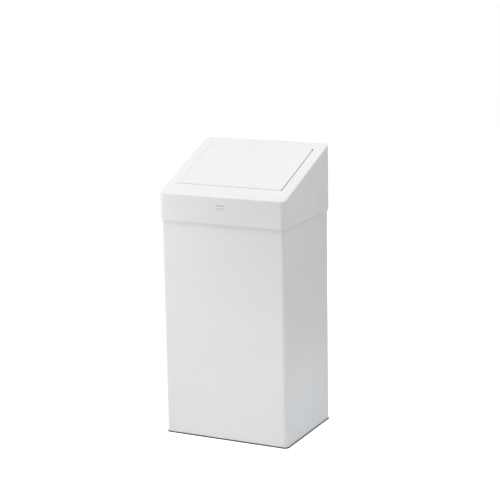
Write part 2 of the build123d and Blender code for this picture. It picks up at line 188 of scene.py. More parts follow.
# %% The light
sky_level = 0.331
lamps = {
    "top_lamp": ((0.2, 0.0, 2.6), (0, 0, 0.35), 2.0, 17.2),
    "high_left_lamp": ((-1.2, -0.7, 2.2), (0, -0.13, 0.4), 0.6, 14.2),
    "low_left_lamp": ((-1.3, -1.0, 0.5), (0, -0.13, 0.35), 0.5, 2.8),
    "near_left_lamp": ((-0.55, -0.48, 0.6), (-0.05, -0.13, 0.45), 0.3, 0.76),
    "right_lamp": ((0.8, -0.3, 1.15), (0.17, 0, 0.62), 0.4, 1.6),
    "foot_lamp": ((0.15, -0.7, 0.05), (0, -0.13, 0.1), 0.5, 0.99),
    "side_lamp": ((0.42, 0.0, 0.03), (0.165, 0, 0), 0.2, 0.13),
    "back_lamp": ((0.0, 1.7, 0.5), (0, 0.13, 0.35), 0.8, 5.0),
}
side_lamp_colour = (0.72, 0.86, 1.0)
world = bpy.data.worlds.new("studio")
bpy.context.scene.world = world
world.use_nodes = True
nodes, links = world.node_tree.nodes, world.node_tree.links
nodes.clear()
output = nodes.new("ShaderNodeOutputWorld")
sky = nodes.new("ShaderNodeBackground")
set_inputs(sky, {"Color": (1, 1, 1, 1), "Strength": sky_level})
ground = nodes.new("ShaderNodeBackground")
set_inputs(ground, {"Color": (1, 1, 1, 1), "Strength": 1})
by_ray = mixed(nodes, links, looking_rays(nodes, links), sky.outputs[0], ground.outputs[0])
links.new(by_ray, output.inputs["Surface"])

for name, (place, aim, size, watts) in lamps.items():
    bpy.ops.object.light_add(type="AREA", location=place)
    light = named(name)
    light.visible_camera = False
    light.data.size = size
    light.data.energy = watts
    if name == "side_lamp":
        light.data.color = side_lamp_colour
    light.rotation_euler = (Vector(aim) - light.location).to_track_quat("-Z", "Y").to_euler()
print("lamps", ", ".join(lamps))

# %% [markdown]
# ## Finishes
# Each finish is a material made of nodes. What several share, such as a mottle or a fine grain, is a node
# group that is built once and placed in each material with its own numbers. A picture could be wrapped round
# the pieces, but it would need unfolding and would blur close up. A pattern worked out from the piece's own
# coordinates does neither.


# %% A helper for the groups
def new_group(name, inputs, outputs):
    """An empty node group with these named sockets, and its input and output nodes."""
    group = bpy.data.node_groups.new(name, "ShaderNodeTree")
    for socket, kind, value in inputs:
        made = group.interface.new_socket(name=socket, in_out="INPUT", socket_type=kind)
        made.default_value = value
    for socket, kind in outputs:
        group.interface.new_socket(name=socket, in_out="OUTPUT", socket_type=kind)
    return group, group.nodes.new("NodeGroupInput"), group.nodes.new("NodeGroupOutput")


FLOAT = "NodeSocketFloat"
COLOUR = "NodeSocketColor"
VECTOR = "NodeSocketVector"

# %% [markdown]
# The mottle is the slight unevenness of tone that every real surface has: coats vary in thickness, and hands
# touch some places more. Two colours are mixed by a soft noise of a given size.

# %% The mottle
mottle, given, out = new_group(
    "tone_mottle",
    [("Light tone", COLOUR, (1, 1, 1, 1)), ("Dark tone", COLOUR, (0.9, 0.9, 0.9, 1)), ("Scale", FLOAT, 10.0)],
    [("Color", COLOUR), ("Mask", FLOAT)],
)
where = mottle.nodes.new("ShaderNodeTexCoord")
noise = mottle.nodes.new("ShaderNodeTexNoise")
set_inputs(noise, {"Detail": 4, "Roughness": 0.6})
mottle.links.new(where.outputs["Object"], noise.inputs["Vector"])
mottle.links.new(given.outputs["Scale"], noise.inputs["Scale"])
spread = mottle.nodes.new("ShaderNodeMapRange")
set_inputs(spread, {"From Min": 0.3, "From Max": 0.7})
mottle.links.new(noise.outputs["Fac"], spread.inputs["Value"])
mix = mottle.nodes.new("ShaderNodeMix")
mix.data_type = "RGBA"
mottle.links.new(spread.outputs["Result"], mix.inputs["Factor"])
mottle.links.new(given.outputs["Light tone"], mix.inputs["A"])
mottle.links.new(given.outputs["Dark tone"], mix.inputs["B"])
mottle.links.new(mix.outputs["Result"], out.inputs["Color"])
mottle.links.new(spread.outputs["Result"], out.inputs["Mask"])
print("group", mottle.name)

# %% [markdown]
# The grain is what a finger feels: the fine sparkle of a moulded plastic, or the soft orange peel of a powder
# coat. It is a bump from two noises, a fine one for the grain and a broad one for the waves.

# %% The grain
grain, given, out = new_group(
    "surface_grain",
    [("Fine scale", FLOAT, 2500.0), ("Fine depth", FLOAT, 0.00002), ("Broad scale", FLOAT, 300.0),
     ("Broad depth", FLOAT, 0.00002)],
    [("Normal", VECTOR), ("Height", FLOAT)],
)
where = grain.nodes.new("ShaderNodeTexCoord")
last_normal = None
for size in ("Broad", "Fine"):
    noise = grain.nodes.new("ShaderNodeTexNoise")
    noise.inputs["Detail"].default_value = 2
    grain.links.new(where.outputs["Object"], noise.inputs["Vector"])
    grain.links.new(given.outputs[size + " scale"], noise.inputs["Scale"])
    bump = grain.nodes.new("ShaderNodeBump")
    grain.links.new(noise.outputs["Fac"], bump.inputs["Height"])
    grain.links.new(given.outputs[size + " depth"], bump.inputs["Distance"])
    if last_normal:
        grain.links.new(last_normal, bump.inputs["Normal"])
    last_normal = bump.outputs["Normal"]
grain.links.new(last_normal, out.inputs["Normal"])
grain.links.new(noise.outputs["Fac"], out.inputs["Height"])
print("group", grain.name)


# %% A helper for the finishes
def new_finish(name, light, dark, mottle_scale, roughness, grain_values, roughness_spread=0.06, metallic=0):
    """A mottled Principled material, its grain as fine scale and depth, then broad scale and depth."""
    material = bpy.data.materials.new(name)
    material.use_nodes = True
    nodes, links = material.node_tree.nodes, material.node_tree.links
    shader = nodes["Principled BSDF"]
    shader.inputs["Metallic"].default_value = metallic
    tone = nodes.new("ShaderNodeGroup")
    tone.node_tree = mottle
    set_inputs(tone, {"Light tone": (*light, 1), "Dark tone": (*dark, 1), "Scale": mottle_scale})
    links.new(tone.outputs["Color"], shader.inputs["Base Color"])
    rough = nodes.new("ShaderNodeMapRange")
    half_spread = roughness_spread / 2
    set_inputs(rough, {"To Min": roughness - half_spread, "To Max": roughness + half_spread})
    links.new(tone.outputs["Mask"], rough.inputs["Value"])
    links.new(rough.outputs["Result"], shader.inputs["Roughness"])
    skin = nodes.new("ShaderNodeGroup")
    skin.node_tree = grain
    set_inputs(skin, dict(zip(("Fine scale", "Fine depth", "Broad scale", "Broad depth"), grain_values)))
    links.new(skin.outputs["Normal"], shader.inputs["Normal"])
    return material


# %% [markdown]
# The body and all that is welded into it are coated with white powder, which is baked to a satin skin with a
# slight orange peel. A plain white would look like card, so the coat has a broad wave and a faint, cool
# mottle.

# %% Powder coat
powder_coat = new_finish(
    "powder_coat", (0.842, 0.842, 0.842), (0.828, 0.829, 0.83), 9.0, 0.5,
    (1800.0, 0.000004, 420.0, 0.00003),
)
print("finish", powder_coat.name)

# %% [markdown]
# The hood and the flap are moulded from white plastic in a finely etched mould, which leaves a grain that
# kills the gloss. The flap comes from another batch of granulate and is a touch cooler than the hood.

# %% Moulded plastic
moulded_grain = (3200.0, 0.00001, 60.0, 0.00004)
hood_moulding = new_finish(
    "hood_moulding", (0.845, 0.845, 0.84), (0.83, 0.83, 0.825), 14.0, 0.5, moulded_grain
)
shader = hood_moulding.node_tree.nodes["Principled BSDF"]
set_inputs(shader, {"Subsurface Weight": 0.05, "Subsurface Radius": (0.002, 0.002, 0.002)})
flap_moulding = new_finish(
    "flap_moulding", (0.84, 0.845, 0.85), (0.825, 0.83, 0.84), 14.0, 0.48, moulded_grain
)
print("finishes", hood_moulding.name, flap_moulding.name)

# %% [markdown]
# The rest are small pieces: a smooth blank plate and the grey paint in its grooves, a black plastic ring that
# picks up dust, zinc-plated wire, drawn steel, blackened clips and soft rubber.

# %% The small finishes
plate_moulding = new_finish(
    "plate_moulding", (0.845, 0.845, 0.84), (0.83, 0.83, 0.825), 60.0, 0.45,
    (3000.0, 0.000005, 60.0, 0.00002),
)
groove_paint = new_finish(
    "groove_paint", (0.60, 0.60, 0.605), (0.64, 0.64, 0.645), 300.0, 0.5,
    (2500.0, 0.000005, 300.0, 0.00001),
)
ring_moulding = new_finish(
    "ring_moulding", (0.030, 0.030, 0.033), (0.055, 0.055, 0.056), 25.0, 0.55,
    (2200.0, 0.00002, 200.0, 0.00003), roughness_spread=0.2,
)
zinc_plate = new_finish(
    "zinc_plate", (0.72, 0.73, 0.74), (0.58, 0.60, 0.62), 120.0, 0.3,
    (1500.0, 0.00001, 300.0, 0.00001),
    roughness_spread=0.15, metallic=1,
)
steel_grain = (2500.0, 0.00001, 400.0, 0.00001)
drawn_steel = new_finish(
    "drawn_steel", (0.62, 0.62, 0.62), (0.52, 0.52, 0.53), 200.0, 0.24, steel_grain,
    roughness_spread=0.12, metallic=1
)
spring_wire = new_finish(
    "spring_wire", (0.5, 0.5, 0.51), (0.36, 0.36, 0.38), 300.0, 0.3, steel_grain,
    roughness_spread=0.12, metallic=1
)
black_steel = new_finish(
    "black_steel", (0.10, 0.10, 0.105), (0.16, 0.155, 0.15), 300.0, 0.4, steel_grain,
    roughness_spread=0.12, metallic=0.9
)
soft_rubber = new_finish(
    "soft_rubber", (0.045, 0.045, 0.045), (0.07, 0.07, 0.07), 150.0, 0.75,
    (2000.0, 0.00002, 300.0, 0.00002),
)
print("finishes in all", len(bpy.data.materials) - 1)

# %% [markdown]
# ## What the frame's own pieces wear
# The record names a material slot for each node. A dictionary from slot to finish dresses them all at once.

# %% Dress the frame's own pieces
finish_of_slot = {
    "body_paint": powder_coat,
    "hood_plastic": hood_moulding,
    "flap_plastic": flap_moulding,
    "badge_plastic": plate_moulding,
    "ring_plastic": ring_moulding,
    "zinc_steel": zinc_plate,
    "rod_steel": drawn_steel,
    "clip_steel": black_steel,
    "spring_steel": spring_wire,
    "buffer_rubber": soft_rubber,
}
slot_of_node = {part["node"]: part["material_slot"] for part in frame["record"]["subparts"]}
for name, node in frame["nodes"].items():
    for place in node.material_slots:
        place.material = finish_of_slot[slot_of_node[name]]
print("dressed", len(slot_of_node), "nodes")

# %% [markdown]
# ## Tools of the trade
# Every piece below starts as a primitive at its real size and place, and is shaped in edit mode as by hand.
# An operator acts on all that is selected, so a small helper first picks the faces or edges by their place. A
# direction is straight along an axis when nearly all of it lies that way, and crosswise when hardly any does.


# %% Helpers that add and pick
def deselect():
    """Back to object mode with nothing selected."""
    if bpy.context.object and bpy.context.object.mode != "OBJECT":
        bpy.ops.object.mode_set(mode="OBJECT")
    bpy.ops.object.select_all(action="DESELECT")


def only(piece):
    """Object mode with just this piece selected and active."""
    deselect()
    piece.select_set(True)
    bpy.context.view_layer.objects.active = piece
    return piece


def settle(piece):
    """Put the piece's place, turn and size into its mesh."""
    only(piece)
    bpy.ops.object.transform_apply(location=True, rotation=True, scale=True)
    return piece


def add_block(name, low, high):
    """A box between two corners."""
    deselect()
    low, high = Vector(low), Vector(high)
    bpy.ops.mesh.primitive_cube_add(size=1, location=(low + high) / 2)
    piece = named(name)
    piece.scale = high - low
    return settle(piece)


def add_round(name, radius, start, end, sides=48):
    """A round bar along X, from the middle of one end to the middle of the other."""
    deselect()
    start, end = Vector(start), Vector(end)
    bpy.ops.mesh.primitive_cylinder_add(
        vertices=sides, radius=radius, depth=(end - start).length, location=(start + end) / 2,
        rotation=(0, pi / 2, 0)
    )
    return settle(named(name))


def pick(piece, kind, test):
    """Edit mode with only the vertices, edges or faces that the test takes, by place and direction."""
    if piece.mode != "EDIT":
        only(piece)
        bpy.ops.object.mode_set(mode="EDIT")
    bpy.ops.mesh.select_mode(type=kind)
    bpy.ops.mesh.select_all(action="DESELECT")
    shape = bmesh.from_edit_mesh(piece.data)
    shape.normal_update()
    if kind == "FACE":
        found = [f for f in shape.faces if test(f.calc_center_median(), f.normal)]
    elif kind == "EDGE":
        ends = [(e, e.verts[0].co, e.verts[1].co) for e in shape.edges]
        found = [e for e, a, b in ends if test((a + b) / 2, (b - a).normalized())]
    else:
        found = [v for v in shape.verts if test(v.co, v.normal)]
    for part in found:
        part.select_set(True)
    shape.select_flush_mode()
    bmesh.update_edit_mesh(piece.data)
    return len(found)


# %% Helpers that tell where a point is
straight = 0.99
crosswise = 0.1
loose = 0.1 * MM


def near(a, b, slack=0.02 * MM):
    """Whether two lengths are the same."""
    return abs(a - b) < slack


def beside(across, along, half_width, half_length, corner):
    """How far a point lies outside a rounded rectangle about the origin."""
    over_across = max(abs(across) - (half_width - corner), 0)
    over_along = max(abs(along) - (half_length - corner), 0)
    inside = min(max(abs(across) - half_width, abs(along) - half_length) + corner, 0)
    return (over_across ** 2 + over_along ** 2) ** 0.5 + inside - corner


def on_slope(point):
    """A place as the sloped top sees it: across, up the slope from its front edge, and out of it."""
    over = point - Vector((0, hood_low.y, front_top))
    up_slope = over.y * cos(slope) + over.z * sin(slope)
    return Vector((over.x, up_slope, over.z * cos(slope) - over.y * sin(slope)))


# %% Helpers that shape
def bevel(width, segments=1):
    """Round what is picked."""
    bpy.ops.mesh.bevel(offset=width, segments=segments, affect="EDGES", clamp_overlap=False)


def extrude(move):
    """Pull what is picked out by a step."""
    bpy.ops.mesh.extrude_region_move(TRANSFORM_OT_translate={"value": move})


def inset(width):
    """Draw a smaller outline inside the picked face."""
    bpy.ops.mesh.inset(thickness=width, depth=0, use_even_offset=True)


def round_level(piece, height, width, segments):
    """Round the edges that lie at this height."""
    pick(piece, "EDGE", lambda p, d: near(p.z, height))
    bevel(width, segments)


def add_rounded_block(name, low, high, radius, segments=6):
    """A box between two corners with round uprights."""
    piece = add_block(name, low, high)
    pick(piece, "EDGE", lambda p, d: abs(d.z) > straight)
    bevel(radius, segments)
    deselect()
    return piece


def apply_modifier(piece, kind, **settings):
    """Add a modifier with these settings and apply it."""
    only(piece)
    step = piece.modifiers.new(kind.lower(), kind)
    for setting, value in settings.items():
        setattr(step, setting, value)
    bpy.ops.object.modifier_apply(modifier=step.name)


def carve(piece, tool, how="DIFFERENCE"):
    """Cut a tool away from the piece, or weld it on with UNION, and use the tool up."""
    apply_modifier(piece, "BOOLEAN", operation=how, solver="EXACT", object=tool)
    bpy.data.objects.remove(tool)


def thicken(piece, wall):
    """Give a skin its wall, on the inside."""
    apply_modifier(
        piece, "SOLIDIFY", thickness=wall, offset=-1, use_even_offset=True, use_quality_normals=True
    )


double = 0.0005 * MM


def merge_doubles(piece):
    """Edit mode with all picked and the doubles merged."""
    only(piece)
    bpy.ops.object.mode_set(mode="EDIT")
    bpy.ops.mesh.select_all(action="SELECT")
    bpy.ops.mesh.remove_doubles(threshold=double)


def turn_normals(piece):
    """Merge doubles and turn all faces outwards."""
    merge_doubles(piece)
    bpy.ops.mesh.normals_make_consistent(inside=False)
    bpy.ops.object.mode_set(mode="OBJECT")


def copy_of(piece, name, move=(0, 0, 0), turn=0.0, mirrored=False):
    """A copy with a mesh of its own: moved, turned about the upright axis, or mirrored left to right."""
    twin = piece.copy()
    twin.data = piece.data.copy()
    twin.name = name
    bpy.context.collection.objects.link(twin)
    twin.location = move
    twin.rotation_euler.z = turn
    if mirrored:
        twin.scale.x = -1
    settle(twin)
    if mirrored:
        turn_normals(twin)
    return twin


def lay(piece, tilt, place):
    """Tilt a piece that was made flat: its Y runs up the tilted face and its Z stands out of it."""
    piece.rotation_euler.x = tilt
    piece.location = place
    return settle(piece)


def lay_on_slope(piece):
    """Lay a piece that was made flat onto the sloped top of the hood."""
    return lay(piece, slope, (0, hood_low.y, front_top))


# %% A helper that finishes a piece
def complete(piece, body_name, slot, *nodes, smooth=35):
    """Shade a finished piece, dress it, and tie it to the frame."""
    merge_doubles(piece)
    bpy.ops.mesh.dissolve_degenerate(threshold=double)
    bpy.ops.object.mode_set(mode="OBJECT")
    bpy.ops.object.shade_smooth_by_angle(angle=radians(smooth))
    apply_modifier(piece, "WEIGHTED_NORMAL", keep_sharp=True)
    piece.data.materials.clear()
    piece.data.materials.append(finish_of_slot[slot])
    if body_name:
        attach(piece, body_name)
    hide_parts(*nodes)
    shape = bmesh.new()
    shape.from_mesh(piece.data)
    open_edges = sum(1 for e in shape.edges if not e.is_manifold)
    volume = shape.calc_volume(signed=True) / MM ** 3
    print(f"{piece.name}: {len(shape.faces)} faces, {open_edges} open edges, {volume:.0f} cubic mm")
    shape.free()
    return piece


# %% [markdown]
# ## The body
# The real body is one sheet of 0.8 mm steel, folded round, butted at the back, and hemmed inwards at the rim
# so that no raw edge can cut a hand. It could be four thick walls, but then the corners and the hem would be
# solid bars. So one skin is drawn first: a block with round uprights, whose top face is turned over the rim
# by small insets and pushed down inside. The face at its end and the floor are taken out, and the skin gets
# its wall last.

# %% Fold the body
sheet = 0.8 * MM
sheet_play = 0.1 * MM
body_corner = 10 * MM
hem = 10 * MM
fold_steps = 6
shell = add_rounded_block("body_sheet", body_low, body_high, body_corner, 8)
pick(shell, "FACE", lambda p, n: n.z > straight)
bpy.ops.transform.translate(value=(0, 0, -sheet))
for step in range(fold_steps):
    turn, next_turn = (pi * s / fold_steps for s in (step, step + 1))
    inset(sheet * (cos(turn) - cos(next_turn)))
    bpy.ops.transform.translate(value=(0, 0, sheet * (sin(next_turn) - sin(turn))))
extrude((0, 0, sheet - hem))
bpy.ops.mesh.delete(type="FACE")
pick(shell, "FACE", lambda p, n: n.z < -straight and near(p.z, body_low.z))
bpy.ops.mesh.delete(type="FACE")
print("the skin turns over the rim in", fold_steps, "steps")

# %% [markdown]
# The edges of the sheet meet at the middle of the back with a hair's gap. Two bisects mark it and the strip
# between goes. Behind it the strap is spot-welded, which leaves two rows of shallow round dents: flattened
# balls are set along the seam and cut away.

# %% Open the seam and dent the welds
seam_gap = 0.4 * MM
for seam_edge in (-seam_gap / 2, seam_gap / 2):
    pick(shell, "FACE", lambda p, n: p.y > 0 and abs(p.x) < body_high.x / 2)
    bpy.ops.mesh.bisect(plane_co=(seam_edge, 0, 0), plane_no=(1, 0, 0))
pick(shell, "FACE", lambda p, n: p.y > 0 and abs(p.x) < seam_gap)
bpy.ops.mesh.delete(type="FACE")
thicken(shell, sheet - sheet_play)

strap_low, strap_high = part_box("seam_strap")
weld_radius = 2.6 * MM
weld_depth = 0.3 * MM
weld_count = 12
weld_from_seam = 6 * MM
weld_step = (strap_high.z - strap_low.z) / weld_count
weld_places = [
    (side * weld_from_seam, strap_low.z + weld_step * (row + 0.5))
    for side in (-1, 1) for row in range(weld_count)
]


def cut_dents(piece, wall_y):
    """Cut the two rows of dents into a wall that faces the front or the back."""
    deselect()
    balls = []
    for x, z in weld_places:
        bpy.ops.mesh.primitive_uv_sphere_add(
            segments=20, ring_count=10, radius=weld_radius, location=(x, wall_y, z)
        )
        balls.append(bpy.context.object)
        balls[-1].scale.y = weld_depth / weld_radius
    for ball in balls:
        ball.select_set(True)
    bpy.ops.object.join()
    carve(piece, settle(bpy.context.object))
    print(len(balls), "dents in", piece.name)


cut_dents(shell, body_high.y)
complete(shell, "body", "body_paint", "body_shell")

# %% [markdown]
# The strap is a flat bar with round corners. It could stay the plain box of the frame, but when the hood is
# off it is seen from above, with the same two rows of dents.

# %% The seam strap
strap_corner = 3 * MM
strap_edge = 0.15 * MM
strap = add_block("strap_bar", strap_low, strap_high)
pick(strap, "EDGE", lambda p, d: abs(d.y) > straight)
bevel(strap_corner, 5)
pick(strap, "EDGE", lambda p, d: near(p.y, strap_low.y) and abs(d.y) < crosswise)
bevel(strap_edge, 2)
cut_dents(strap, strap_low.y)
complete(strap, "body", "body_paint", "seam_strap")

# %% [markdown]
# ## The bottom
# The bottom is a shallow tray of the same sheet, pressed with its open side down and a raised step in its
# floor that stops it from drumming. It is drawn from above as one skin, with round edges at each press line,
# and thickened last.

# %% The bottom pan
pan_low, pan_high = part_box("bottom_pan")
pan_corner = 9.1 * MM
pan_edge = 2 * MM
step_rise = 2 * MM
step_round = 1.2 * MM
step_foot = 0.7 * MM
step_inset = Vector((28 * MM, 28 * MM, 0))
pan_floor = pan_high.z - step_rise
pan = add_rounded_block("bottom_tray", pan_low, (pan_high.x, pan_high.y, pan_floor), pan_corner, 8)
round_level(pan, pan_floor, pan_edge, 5)
raised = add_rounded_block(
    "raised_step", pan_low + step_inset + Vector((0, 0, sheet)), pan_high - step_inset, pan_corner, 8
)
carve(pan, raised, "UNION")
round_level(pan, pan_high.z, step_round, 4)
pick(pan, "EDGE", lambda p, d: near(p.z, pan_floor) and near(beside(
    p.x, p.y, pan_high.x - step_inset.x, pan_high.y - step_inset.y, pan_corner), 0, loose))
bevel(step_foot, 3)
pick(pan, "FACE", lambda p, n: n.z < -straight and near(p.z, pan_low.z))
bpy.ops.mesh.delete(type="FACE")
thicken(pan, sheet)
complete(pan, "body", "body_paint", "bottom_pan")

# %% [markdown]
# ## The floor ring
# A moulded ring closes the raw foot of the sheet. Its flange stands a little proud all round, which is the
# black line under the bin, and its wall plugs into the bottom pan. A flat block is drawn, the wall is raised
# from it by insets and extrudes, and the middle is cut out.

# %% The floor ring
ring_low, ring_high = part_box("floor_ring")
flange = body_low.z
plug_inset = 3.3 * MM
plug_wall = 2.5 * MM
plug_height = ring_high.z - flange
ring_corner = 11.5 * MM
ring_edge, ring_foot_edge, plug_edge = 0.8 * MM, 0.3 * MM, 0.4 * MM
flange_width = Vector((16 * MM, 16 * MM, 0))
middle_corner = 10 * MM
below = Vector((0, 0, 1 * MM))
ring = add_rounded_block("foot_ring", ring_low, (ring_high.x, ring_high.y, flange), ring_corner, 10)
round_level(ring, flange, ring_edge, 4)
round_level(ring, 0, ring_foot_edge, 2)
pick(ring, "FACE", lambda p, n: n.z > straight)
inset(plug_inset - ring_edge)
extrude((0, 0, plug_height))
inset(plug_wall)
extrude((0, 0, -plug_height))
middle = add_rounded_block(
    "middle", ring_low + flange_width - below, ring_high - flange_width, middle_corner, 8
)
carve(ring, middle)
round_level(ring, ring_high.z, plug_edge, 2)
complete(ring, "body", "ring_plastic", "floor_ring")

# %% [markdown]
# ## The hood
# The hood is moulded in one piece: a skirt, four walls and a sloped top with an opening. All its outer edges
# have the same round, but the top meets the front wall in a wide angle and the back wall in a sharp one, so
# the bevel takes more of the back edge than of the front. Each top edge therefore gets a weight, worked out
# from its own angle.

# %% Block out the hood
hood_wall = 3 * MM
hood_corner = 13.8 * MM
hood_edge = 4.2 * MM
skirt_edge = 0.8 * MM
spare = Vector((0, 0, 20 * MM))
hood = add_rounded_block("hood_shell", hood_low, hood_high + spare, hood_corner, 12)
pick(hood, "FACE", lambda p, n: True)
out_of_slope = (0, -sin(slope), cos(slope))
bpy.ops.mesh.bisect(
    plane_co=(0, hood_low.y, front_top), plane_no=out_of_slope, use_fill=True, clear_outer=True
)
only(hood)
reach_of_edge = {}
for wall in hood.data.polygons:
    if abs(wall.normal.z) < crosswise:
        turn = acos(-wall.normal.y * sin(slope))
        for edge in wall.edge_keys:
            if all(near(on_slope(hood.data.vertices[end].co).z, 0) for end in edge):
                reach_of_edge[edge] = hood_edge * tan(turn / 2)
widest = max(reach_of_edge.values())
weights = hood.data.attributes.new("bevel_weight_edge", "FLOAT", "EDGE")
for edge in hood.data.edges:
    weights.data[edge.index].value = reach_of_edge.get(edge.key, 0) / widest
apply_modifier(hood, "BEVEL", limit_method="WEIGHT", width=widest, segments=6, use_clamp_overlap=False)
hood.data.attributes.remove(hood.data.attributes["bevel_weight_edge"])
pick(hood, "FACE", lambda p, n: n.z < -straight)
bpy.ops.mesh.delete(type="FACE")
thicken(hood, hood_wall)
pick(hood, "EDGE", lambda p, d: near(p.z, hood_low.z) and near(
    beside(p.x, p.y, hood_high.x, hood_high.y, hood_corner), 0, loose))
bevel(skirt_edge, 3)
print("the top edge takes", round(widest / MM, 2), "mm at the back")

# %% [markdown]
# Eight ribs stand inside the walls, and their feet rest on the rim of the body. One is made with a slanted
# head, as a mould would leave it, and copied round the hood.

# %% The ribs inside the hood
rib_reach = 5 * MM
rib_half = 1.25 * MM
rib_foot = body_high.z
rib_height = 18 * MM
rib_top = rib_foot + rib_height
rib_spread = 60 * MM
rib_inner = hood_high.x - hood_wall - rib_reach
rib_in_wall = 1 * MM
rib_head = 0.5 * MM
first_rib = add_block(
    "rim_rib", (rib_inner, -rib_half, rib_foot), (hood_high.x - rib_in_wall, rib_half, rib_top)
)
pick(first_rib, "EDGE", lambda p, d: near(p.z, rib_top) and near(p.x, rib_inner))
bevel(rib_reach - rib_head)
deselect()
across = hood_high.y - hood_high.x
for along in (-rib_spread, rib_spread):
    for quarter in range(4):
        turn = quarter * pi / 2
        shift = Vector((across, along, 0)) if quarter % 2 else Vector((0, along, 0))
        shift.rotate(Matrix.Rotation(turn, 3, "Z"))
        carve(hood, copy_of(first_rib, "rib", shift, turn), "UNION")
bpy.data.objects.remove(first_rib)
print("hood with 8 ribs:", len(hood.data.polygons), "faces")

# %% [markdown]
# The opening is cut square to the slope, with a small chamfer so that its edge doesn't chip. The lugs that
# hold the rod are made once, flat: a round plate with a neck up to the hood, a thinner boss that keeps the
# flap off it, a hole, and an open mouth below through which the rod snaps in.

# %% The opening and the lugs
flap_half = flap_high.x
flap_start = 49.2 * MM
flap_rear_border = 36.5 * MM
flap_end = (hood_high.y - hood_low.y) / cos(slope) - flap_rear_border
flap_gap = 1.5 * MM
flap_front_gap = 0.45 * MM
open_half = flap_half + flap_gap
open_start, open_end = flap_start - flap_front_gap, flap_end + flap_gap
open_middle = (open_start + open_end) / 2
open_corner = 2 * MM
open_chamfer = 0.5 * MM
hole_reach = 10 * MM
hole = add_rounded_block(
    "hole", (-open_half, open_start, -hole_reach), (open_half, open_end, hole_reach), open_corner, 5
)
carve(hood, lay_on_slope(hole))
pick(hood, "EDGE", lambda p, d: near(on_slope(p).z, 0) and near(beside(
    p.x, on_slope(p).y - open_middle, open_half, (open_end - open_start) / 2, open_corner), 0, loose))
bevel(open_chamfer)

pin = on_slope(hinge)
past = 1 * MM
rod_hole = 2.05 * MM
rib_inset = 1.5 * MM
boss_gap = 0.5 * MM
boss_radius = 4.2 * MM
mouth_half = 1.7 * MM
mouth_reach = 8 * MM
neck_top = -1 * MM
lug_radius = 6.5 * MM
lug_thickness = 4 * MM
lug_from_opening = 1 * MM
lug_inner = open_half + lug_from_opening
lug_outer = lug_inner + lug_thickness
boss_inner = flap_half - rib_inset + boss_gap


def pin_round(name, radius, start, end, sides=48):
    """A round bar on the axis of the hinge, in the flat lie of the sloped top."""
    return add_round(name, radius, (start, pin.y, pin.z), (end, pin.y, pin.z), sides)


lug = pin_round("lug", lug_radius, lug_inner, lug_outer)
neck = add_block("neck", (lug_inner, pin.y - lug_radius, pin.z), (lug_outer, pin.y + lug_radius, neck_top))
carve(lug, neck, "UNION")
carve(lug, pin_round("boss", boss_radius, boss_inner, lug_inner + past), "UNION")
bore_start, bore_end = boss_inner - past, lug_outer + past
carve(lug, pin_round("bore", rod_hole, bore_start, bore_end))
mouth = add_block(
    "mouth", (bore_start, pin.y - mouth_half, pin.z - mouth_reach), (bore_end, pin.y + mouth_half, pin.z)
)
carve(lug, mouth)
lay_on_slope(lug)
carve(hood, copy_of(lug, "left_lug", mirrored=True), "UNION")
carve(hood, lug, "UNION")
print("hood with opening and lugs:", len(hood.data.polygons), "faces")

# %% [markdown]
# A shallow recess on the front of the skirt takes a small plate. It is cut last, because it is so thin that
# rounding anything after it would blur it.

# %% The recess for the plate
badge_low, badge_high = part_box("badge_plate")
badge_middle = (badge_low + badge_high) / 2
badge_half = (badge_high - badge_low) / 2
badge_corner = 1.5 * MM
badge_recess = 0.6 * MM
badge_fit = 0.1 * MM
recess_past = 2 * MM


def face_front(piece):
    """Stand a piece that was made flat up against the front of the hood."""
    return lay(piece, pi / 2, (badge_middle.x, hood_low.y, badge_middle.z))


recess = add_rounded_block(
    "recess", (-badge_half.x - badge_fit, -badge_half.z - badge_fit, -badge_recess),
    (badge_half.x + badge_fit, badge_half.z + badge_fit, recess_past), badge_corner + badge_fit, 5
)
carve(hood, face_front(recess))
complete(hood, "hood", "hood_plastic", "hood", smooth=30)

# %% [markdown]
# The plate itself is blank and of the same white as the hood, so that it all but vanishes. Only two plain
# grooves filled with grey paint run across it: each is a slot with round ends, cut into the plate, and its
# floor gets a second material of its own.

# %% The blank plate
badge_top = badge_high.y - badge_low.y - badge_recess
plate_edge = 0.25 * MM
groove_depth = 0.15 * MM
groove_half_length = 10.5 * MM
flat_end = 0.05 * MM
grooves = ((3.9 * MM, 1.7 * MM), (-3.1 * MM, 1.2 * MM))
plate = add_rounded_block(
    "blank_plate", (-badge_half.x, -badge_half.z, -badge_recess), (badge_half.x, badge_half.z, badge_top),
    badge_corner, 5
)
round_level(plate, badge_top, plate_edge, 3)
for groove_y, groove_half_height in grooves:
    groove_half = Vector((groove_half_length, groove_half_height, groove_depth))
    groove_middle = Vector((0, groove_y, badge_top))
    groove = add_rounded_block(
        "groove", groove_middle - groove_half, groove_middle + groove_half, groove_half_height - flat_end, 6
    )
    carve(plate, groove)
face_front(plate)
complete(plate, "hood", "badge_plastic", "badge_plate")
plate.data.materials.append(groove_paint)
painted = pick(plate, "FACE", lambda p, n: near(p.y, badge_low.y + groove_depth))
plate.active_material_index = 1
bpy.ops.object.material_slot_assign()
deselect()
print("groove faces painted:", painted)

# %% [markdown]
# ## The flap
# The flap is a moulded panel stiffened by ribs underneath, with an ear at each side for the rod and a lip in
# front that stops it under the hood. It is made flat, because a rectangle is easiest to model square to the
# axes, and laid on the slope at the end.

